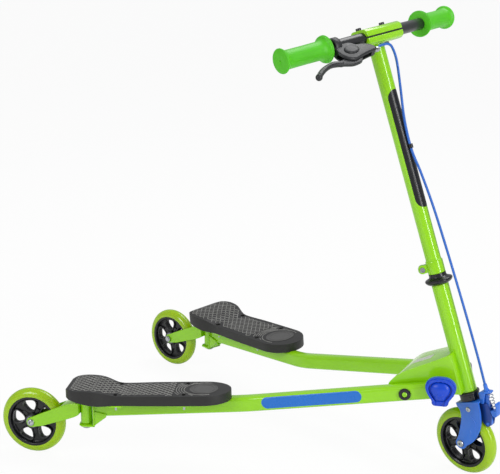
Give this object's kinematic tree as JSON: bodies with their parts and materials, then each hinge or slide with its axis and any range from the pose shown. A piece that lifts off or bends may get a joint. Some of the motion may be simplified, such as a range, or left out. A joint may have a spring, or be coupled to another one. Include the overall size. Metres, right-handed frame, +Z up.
{
  "type": "three wheel kids scooter",
  "caption": "Kids scooter with a steered front wheel, a T-bar with hand brake, and folding legs that spread to the rear, each with a footboard over a swivelling caster wheel.",
  "frame": {"origin": "bottom centre of the bounding box, on the floor that the three wheels stand on", "axes": "+X forward in the travel direction, +Y to the rider's left, +Z up; the front wheel and handlebar stand turned 18 degrees to the right"},
  "size_m": [0.8398, 0.5696, 0.7788],
  "materials": {
    "green_paint": "gloss powder coat",
    "black_plastic": "fine moulded",
    "hub_plastic": "satin moulded",
    "plain_steel": "zinc plated",
    "knob_plastic": "satin moulded",
    "deck_plastic": "grained, ribbed top",
    "bright_steel": "bright plated",
    "wheel_tyre": "cast polyurethane, gloss",
    "blue_paint": "gloss powder coat",
    "brake_blue": "moulded",
    "black_paint": "satin black",
    "grip_rubber": "soft moulded",
    "cable_jacket": "extruded jacket"
  },
  "bodies": {
    "frame": {"main_frame": "green_paint", "lower_cup": "black_plastic", "right_fold_bolt": "black_plastic", "left_fold_bolt": "black_plastic", "right_clamp_stud": "plain_steel", "left_clamp_stud": "plain_steel"},
    "steering": {"steerer": "plain_steel", "collar": "black_plastic", "fork": "blue_paint", "front_axle": "bright_steel", "stem": "green_paint", "pinch_bolt": "bright_steel", "clamp_lower": "green_paint", "clamp_upper": "green_paint", "right_clamp_bolt": "black_paint", "left_clamp_bolt": "black_paint", "handlebar": "black_paint", "right_grip": "grip_rubber", "left_grip": "grip_rubber", "brake_cable": "cable_jacket", "brake_bracket": "blue_paint", "brake_spring": "bright_steel", "lever_perch": "black_plastic"},
    "front_wheel": {"front_tyre": "wheel_tyre", "front_hub": "hub_plastic", "front_bearing_outer": "plain_steel", "front_bearing_inner": "plain_steel"},
    "hand_lever": {"brake_lever": "black_plastic"},
    "brake_shoe": {"brake_arm": "brake_blue"},
    "right_knob_body": {"right_knob": "knob_plastic"},
    "right_leg": {"right_arm": "green_paint", "right_arm_plug": "black_plastic", "right_deck": "deck_plastic", "right_deck_screw_1": "plain_steel", "right_deck_screw_2": "plain_steel", "right_deck_screw_3": "plain_steel", "right_deck_screw_4": "plain_steel", "right_king_pin": "bright_steel"},
    "right_caster": {"right_yoke": "green_paint", "right_rear_axle": "bright_steel"},
    "right_wheel": {"right_tyre": "wheel_tyre", "right_hub": "hub_plastic", "right_bearing_outer": "plain_steel", "right_bearing_inner": "plain_steel"},
    "left_knob_body": {"left_knob": "knob_plastic"},
    "left_leg": {"left_arm": "green_paint", "left_arm_plug": "black_plastic", "left_deck": "deck_plastic", "left_deck_screw_1": "plain_steel", "left_deck_screw_2": "plain_steel", "left_deck_screw_3": "plain_steel", "left_deck_screw_4": "plain_steel", "left_king_pin": "bright_steel"},
    "left_caster": {"left_yoke": "green_paint", "left_rear_axle": "bright_steel"},
    "left_wheel": {"left_tyre": "wheel_tyre", "left_hub": "hub_plastic", "left_bearing_outer": "plain_steel", "left_bearing_inner": "plain_steel"}
  },
  "joints": [
    {"name": "steering_turn", "type": "hinge", "parent": "frame", "child": "steering", "pos_m": [0.32919, 0, 0.24977], "axis": [-0.3042, 0, 0.9526], "range_deg": [-17.5, 54.4]},
    {"name": "front_wheel_spin", "type": "hinge", "parent": "steering", "child": "front_wheel", "pos_m": [0.35648, 0.01061, 0.05978], "axis": [0.3015, 0.9486, 0.0963], "continuous": true},
    {"name": "hand_lever_squeeze", "type": "hinge", "parent": "steering", "child": "hand_lever", "pos_m": [0.17149, -0.08552, 0.72613], "axis": [-0.3853, 0.3205, -0.8653], "range_deg": [0, 15], "stiffness_Nm_per_rad": 0.8, "springref_deg": -8.59},
    {"name": "brake_shoe_press", "type": "hinge", "parent": "steering", "child": "brake_shoe", "pos_m": [0.40208, -0.00873, 0.10761], "axis": [-0.3015, -0.9486, -0.0963], "range_deg": [0, 3], "deforming": ["brake_spring"]},
    {"name": "right_knob_turn", "type": "hinge", "parent": "frame", "child": "right_knob_body", "pos_m": [0.33216, -0.06946, 0.1766], "axis": [0.2062, -0.9785, 0], "continuous": true},
    {"name": "right_leg_fold", "type": "hinge", "parent": "frame", "child": "right_leg", "pos_m": [0.26933, -0.06225, 0.15833], "axis": [-0.2062, 0.9785, 0], "range_deg": [0, 64]},
    {"name": "right_caster_swivel", "type": "hinge", "parent": "right_leg", "child": "right_caster", "pos_m": [-0.26307, -0.2281, 0.085], "axis": [0, 0, 1], "range_deg": [-60, 60]},
    {"name": "right_wheel_spin", "type": "hinge", "parent": "right_caster", "child": "right_wheel", "pos_m": [-0.36124, -0.24915, 0.06], "axis": [-0.2096, 0.9778, 0], "continuous": true},
    {"name": "left_knob_turn", "type": "hinge", "parent": "frame", "child": "left_knob_body", "pos_m": [0.32391, 0.03031, 0.1766], "axis": [-0.2062, -0.9785, 0], "continuous": true},
    {"name": "left_leg_fold", "type": "hinge", "parent": "frame", "child": "left_leg", "pos_m": [0.26933, 0.06225, 0.15833], "axis": [0.2062, 0.9785, 0], "range_deg": [0, 64]},
    {"name": "left_caster_swivel", "type": "hinge", "parent": "left_leg", "child": "left_caster", "pos_m": [-0.26307, 0.2281, 0.085], "axis": [0, 0, 1], "range_deg": [-60, 60]},
    {"name": "left_wheel_spin", "type": "hinge", "parent": "left_caster", "child": "left_wheel", "pos_m": [-0.36124, 0.24915, 0.06], "axis": [0.2096, 0.9778, 0], "continuous": true}
  ],
  "couplings": [
    {"joint": "brake_shoe_press", "follows": "hand_lever_squeeze", "ratio": 0.2}
  ]
}
